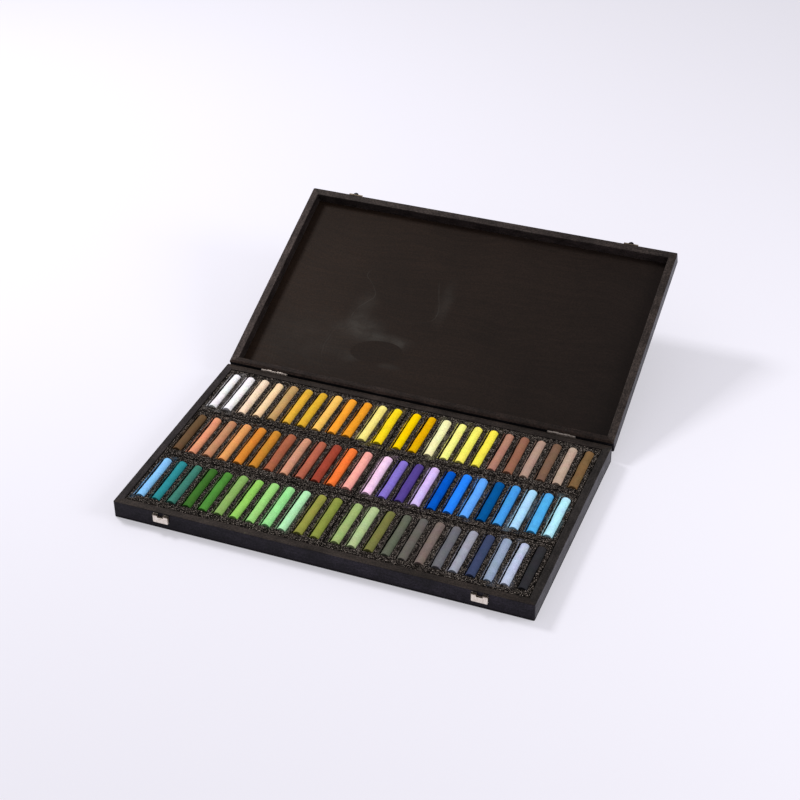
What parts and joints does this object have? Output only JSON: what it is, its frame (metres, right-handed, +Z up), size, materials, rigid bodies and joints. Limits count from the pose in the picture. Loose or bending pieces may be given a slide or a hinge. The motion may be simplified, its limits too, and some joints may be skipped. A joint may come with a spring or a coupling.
{
  "type": "pastel stick case",
  "caption": "Flat black wooden case with a hinged lid and flap latches, lying open, its foam inserts holding rows of round pastel sticks.",
  "frame": {"origin": "centre of the tray's underside, on the surface it rests on", "axes": "+X along the hinge line to the right, +Y from the latches to the hinges, where the open lid lies, +Z up"},
  "size_m": [0.44, 0.5182, 0.1154],
  "materials": {
    "stained_wood": "black stain, satin",
    "stained_plywood": "black stain, matt, grain showing",
    "foam": "charcoal open-cell foam",
    "nickel_plate": "nickel plate, satin",
    "blackened_steel": "blackened, satin",
    "steel_pin": "bright steel",
    "pastel_front_left_1": "pressed chalk and pigment, powdery",
    "pastel_front_left_2": "pressed chalk and pigment, powdery",
    "pastel_front_left_3": "pressed chalk and pigment, powdery",
    "pastel_front_left_4": "pressed chalk and pigment, powdery",
    "pastel_front_right_1": "pressed chalk and pigment, powdery",
    "pastel_front_right_2": "pressed chalk and pigment, powdery",
    "pastel_front_right_3": "pressed chalk and pigment, powdery",
    "pastel_front_right_4": "pressed chalk and pigment, powdery",
    "pastel_middle_left_1": "pressed chalk and pigment, powdery",
    "pastel_middle_left_2": "pressed chalk and pigment, powdery",
    "pastel_middle_left_3": "pressed chalk and pigment, powdery",
    "pastel_middle_left_4": "pressed chalk and pigment, powdery",
    "pastel_middle_right_1": "pressed chalk and pigment, powdery",
    "pastel_middle_right_2": "pressed chalk and pigment, powdery",
    "pastel_middle_right_3": "pressed chalk and pigment, powdery",
    "pastel_middle_right_4": "pressed chalk and pigment, powdery",
    "pastel_back_left_1": "pressed chalk and pigment, powdery",
    "pastel_back_left_2": "pressed chalk and pigment, powdery",
    "pastel_back_left_3": "pressed chalk and pigment, powdery",
    "pastel_back_left_4": "pressed chalk and pigment, powdery",
    "pastel_back_right_1": "pressed chalk and pigment, powdery",
    "pastel_back_right_2": "pressed chalk and pigment, powdery",
    "pastel_back_right_3": "pressed chalk and pigment, powdery",
    "pastel_back_right_4": "pressed chalk and pigment, powdery"
  },
  "bodies": {
    "tray": {"tray_front_rail": "stained_wood", "tray_back_rail": "stained_wood", "tray_left_rail": "stained_wood", "tray_right_rail": "stained_wood", "tray_bottom_panel": "stained_plywood", "hinge_left_tray_leaf": "nickel_plate", "hinge_left_pin": "steel_pin", "latch_left_base": "nickel_plate", "latch_left_pins": "steel_pin", "hinge_right_tray_leaf": "nickel_plate", "hinge_right_pin": "steel_pin", "latch_right_base": "nickel_plate", "latch_right_pins": "steel_pin", "tray_hinge_screws": "steel_pin", "latch_base_nails": "steel_pin"},
    "lid": {"lid_front_rail": "stained_wood", "lid_back_rail": "stained_wood", "lid_left_rail": "stained_wood", "lid_right_rail": "stained_wood", "lid_top_panel": "stained_plywood", "hinge_left_lid_leaf": "nickel_plate", "latch_left_keeper": "nickel_plate", "latch_left_tongue": "blackened_steel", "hinge_right_lid_leaf": "nickel_plate", "latch_right_keeper": "nickel_plate", "latch_right_tongue": "blackened_steel", "lid_hinge_screws": "steel_pin", "latch_keeper_nails": "steel_pin"},
    "latch_left_flap": {"latch_left_flap": "nickel_plate"},
    "latch_right_flap": {"latch_right_flap": "nickel_plate"},
    "foam_front_left": {"foam_insert_front_left": "foam"},
    "foam_front_right": {"foam_insert_front_right": "foam"},
    "foam_middle_left": {"foam_insert_middle_left": "foam"},
    "foam_middle_right": {"foam_insert_middle_right": "foam"},
    "foam_back_left": {"foam_insert_back_left": "foam"},
    "foam_back_right": {"foam_insert_back_right": "foam"},
    "sticks_front_left": {"sticks_front_left_1": "pastel_front_left_1", "sticks_front_left_2": "pastel_front_left_2", "sticks_front_left_3": "pastel_front_left_3", "sticks_front_left_4": "pastel_front_left_4"},
    "sticks_front_right": {"sticks_front_right_1": "pastel_front_right_1", "sticks_front_right_2": "pastel_front_right_2", "sticks_front_right_3": "pastel_front_right_3", "sticks_front_right_4": "pastel_front_right_4"},
    "sticks_middle_left": {"sticks_middle_left_1": "pastel_middle_left_1", "sticks_middle_left_2": "pastel_middle_left_2", "sticks_middle_left_3": "pastel_middle_left_3", "sticks_middle_left_4": "pastel_middle_left_4"},
    "sticks_middle_right": {"sticks_middle_right_1": "pastel_middle_right_1", "sticks_middle_right_2": "pastel_middle_right_2", "sticks_middle_right_3": "pastel_middle_right_3", "sticks_middle_right_4": "pastel_middle_right_4"},
    "sticks_back_left": {"sticks_back_left_1": "pastel_back_left_1", "sticks_back_left_2": "pastel_back_left_2", "sticks_back_left_3": "pastel_back_left_3", "sticks_back_left_4": "pastel_back_left_4"},
    "sticks_back_right": {"sticks_back_right_1": "pastel_back_right_1", "sticks_back_right_2": "pastel_back_right_2", "sticks_back_right_3": "pastel_back_right_3", "sticks_back_right_4": "pastel_back_right_4"}
  },
  "joints": [
    {"name": "lid_hinge", "type": "hinge", "parent": "tray", "child": "lid", "pos_m": [0, 0.13255, 0.01965], "axis": [-1, 0, 0], "range_deg": [-159, 0]},
    {"name": "latch_left_hinge", "type": "hinge", "parent": "tray", "child": "latch_left_flap", "pos_m": [-0.1665, -0.1333, 0.0178], "axis": [-1, 0, 0], "range_deg": [0, 180]},
    {"name": "latch_right_hinge", "type": "hinge", "parent": "tray", "child": "latch_right_flap", "pos_m": [0.1665, -0.1333, 0.0178], "axis": [-1, 0, 0], "range_deg": [0, 180]},
    {"name": "lift_foam_front_left", "type": "slide", "parent": "tray", "child": "foam_front_left", "axis": [0, 0, 1], "range_m": [0, 0.03]},
    {"name": "lift_foam_front_right", "type": "slide", "parent": "tray", "child": "foam_front_right", "axis": [0, 0, 1], "range_m": [0, 0.03]},
    {"name": "lift_foam_middle_left", "type": "slide", "parent": "tray", "child": "foam_middle_left", "axis": [0, 0, 1], "range_m": [0, 0.03]},
    {"name": "lift_foam_middle_right", "type": "slide", "parent": "tray", "child": "foam_middle_right", "axis": [0, 0, 1], "range_m": [0, 0.03]},
    {"name": "lift_foam_back_left", "type": "slide", "parent": "tray", "child": "foam_back_left", "axis": [0, 0, 1], "range_m": [0, 0.03]},
    {"name": "lift_foam_back_right", "type": "slide", "parent": "tray", "child": "foam_back_right", "axis": [0, 0, 1], "range_m": [0, 0.03]},
    {"name": "lift_sticks_front_left", "type": "slide", "parent": "foam_front_left", "child": "sticks_front_left", "axis": [0, 0, 1], "range_m": [0, 0.025]},
    {"name": "lift_sticks_front_right", "type": "slide", "parent": "foam_front_right", "child": "sticks_front_right", "axis": [0, 0, 1], "range_m": [0, 0.025]},
    {"name": "lift_sticks_middle_left", "type": "slide", "parent": "foam_middle_left", "child": "sticks_middle_left", "axis": [0, 0, 1], "range_m": [0, 0.025]},
    {"name": "lift_sticks_middle_right", "type": "slide", "parent": "foam_middle_right", "child": "sticks_middle_right", "axis": [0, 0, 1], "range_m": [0, 0.025]},
    {"name": "lift_sticks_back_left", "type": "slide", "parent": "foam_back_left", "child": "sticks_back_left", "axis": [0, 0, 1], "range_m": [0, 0.025]},
    {"name": "lift_sticks_back_right", "type": "slide", "parent": "foam_back_right", "child": "sticks_back_right", "axis": [0, 0, 1], "range_m": [0, 0.025]}
  ]
}
